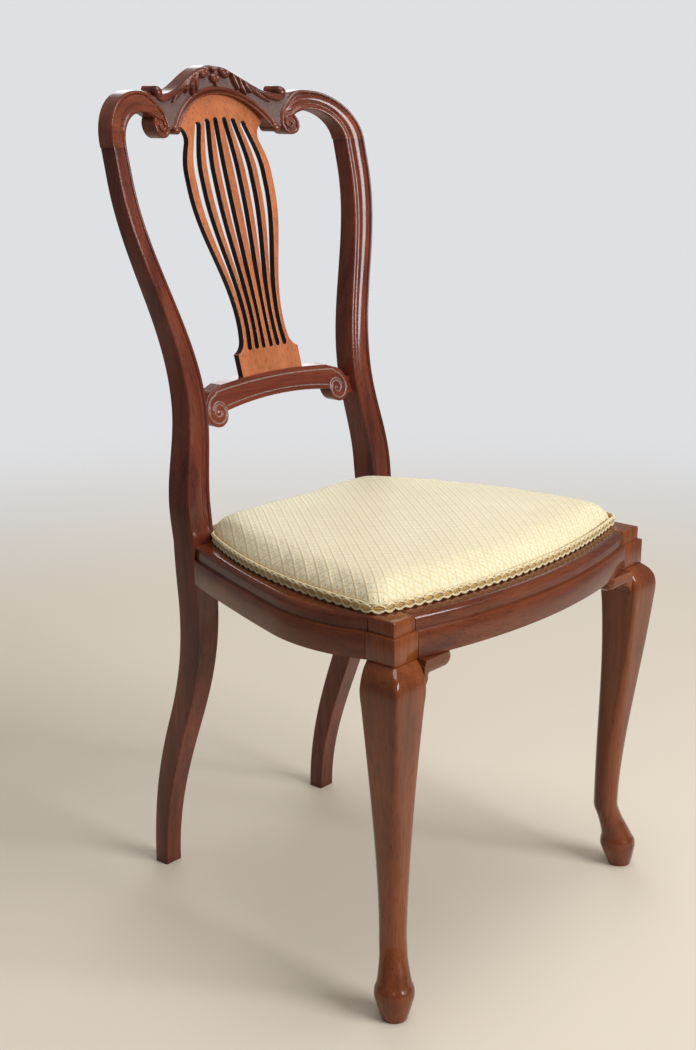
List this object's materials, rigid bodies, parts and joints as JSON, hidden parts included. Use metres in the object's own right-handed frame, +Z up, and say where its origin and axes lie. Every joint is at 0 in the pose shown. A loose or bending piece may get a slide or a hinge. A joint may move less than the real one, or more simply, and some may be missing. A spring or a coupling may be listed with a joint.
{
  "type": "side chair",
  "caption": "Wooden side chair with a moulded and carved crest rail, pierced lyre-shaped splat, cabriole front legs, swept rear legs and a fixed crowned fabric seat.",
  "frame": {"origin": "on the floor, below the middle of the chair's bounding box", "axes": "+X towards the sitter's left, seen from the front as right; +Y towards the back; +Z up"},
  "size_m": [0.4782, 0.5078, 0.9355],
  "materials": {
    "mahogany_frame": "French-polished dark red-brown mahogany",
    "mahogany_legs": "French-polished warm brown mahogany",
    "mahogany_splat": "French-polished orange-brown mahogany",
    "beech_blocks": "plain unpolished hardwood",
    "seat_damask": "pale straw damask with a small diamond trellis",
    "stuffing": "hair and wadding",
    "base_cloth": "plain jute cloth",
    "webbing": "woven jute webbing",
    "gimp_braid": "scalloped braid in cream and gold"
  },
  "bodies": {
    "root": {"back_post_left": "mahogany_frame", "back_post_right": "mahogany_frame", "base_cloth": "base_cloth", "corner_block_front_left": "beech_blocks", "corner_block_front_right": "beech_blocks", "corner_block_rear_left": "beech_blocks", "corner_block_rear_right": "beech_blocks", "crest_rail": "mahogany_frame", "cross_rail": "mahogany_frame", "front_leg_left": "mahogany_legs", "front_leg_right": "mahogany_legs", "front_rail": "mahogany_frame", "gimp_braid": "gimp_braid", "knee_bracket_left": "mahogany_legs", "knee_bracket_right": "mahogany_legs", "lyre_splat": "mahogany_splat", "rear_rail": "mahogany_frame", "seat_cover": "seat_damask", "seat_stuffing": "stuffing", "side_rail_left": "mahogany_frame", "side_rail_right": "mahogany_frame", "webbing_cross": "webbing", "webbing_long": "webbing"}
  },
  "joints": []
}
